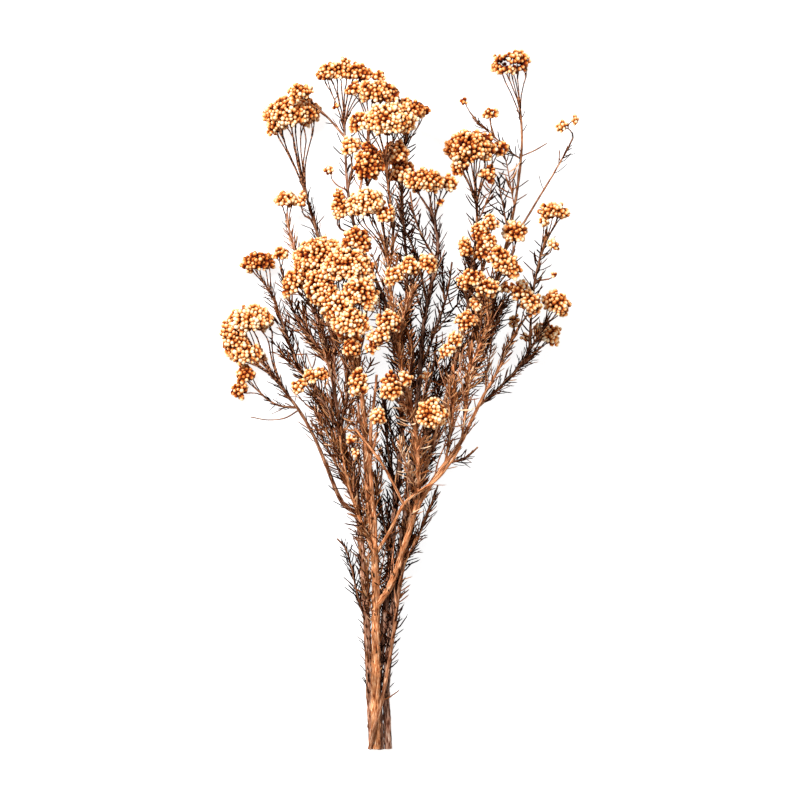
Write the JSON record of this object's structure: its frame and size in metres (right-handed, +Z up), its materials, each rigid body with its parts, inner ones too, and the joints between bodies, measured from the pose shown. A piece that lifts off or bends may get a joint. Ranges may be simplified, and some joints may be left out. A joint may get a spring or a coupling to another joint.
{
  "type": "dried flower bunch",
  "caption": "Loose bunch of preserved rice flower on leafy woody stems, lying flat, with domed heads of small round florets.",
  "frame": {"origin": "below the middle of the bunch, on the surface that it lies on", "axes": "+Y from the cut stem ends to the tips, +Z up from the surface, +X to the right of somebody who looks down on it with the tips away from them"},
  "size_m": [0.2491, 0.4905, 0.1084],
  "materials": {
    "bark": "matt dried bark with needle leaves",
    "floret": "matt papery florets, dyed orange"
  },
  "bodies": {
    "root": {"stem_front": "bark", "stem_left": "bark", "stem_back": "bark", "stem_right": "bark", "stem_slender": "bark", "head_01": "floret", "head_02": "floret", "head_03": "floret", "head_04": "floret", "head_05": "floret", "head_06": "floret", "head_07": "floret", "head_08": "floret", "head_09": "floret", "head_10": "floret", "head_11": "floret", "head_12": "floret", "head_13": "floret", "head_14": "floret", "head_15": "floret", "head_16": "floret", "head_17": "floret", "head_18": "floret", "head_19": "floret", "head_20": "floret", "head_21": "floret", "head_22": "floret", "head_23": "floret", "head_24": "floret", "head_25": "floret", "head_26": "floret", "head_27": "floret", "head_28": "floret", "head_29": "floret", "head_30": "floret", "head_31": "floret", "head_32": "floret", "head_33": "floret", "head_34": "floret", "head_35": "floret", "head_36": "floret", "head_37": "floret", "head_38": "floret", "head_39": "floret", "head_40": "floret", "head_41": "floret", "head_42": "floret", "head_43": "floret", "head_44": "floret", "head_45": "floret", "head_46": "floret", "head_47": "floret", "head_48": "floret", "head_49": "floret", "head_50": "floret", "head_51": "floret", "head_52": "floret", "head_53": "floret", "head_54": "floret"}
  },
  "joints": []
}
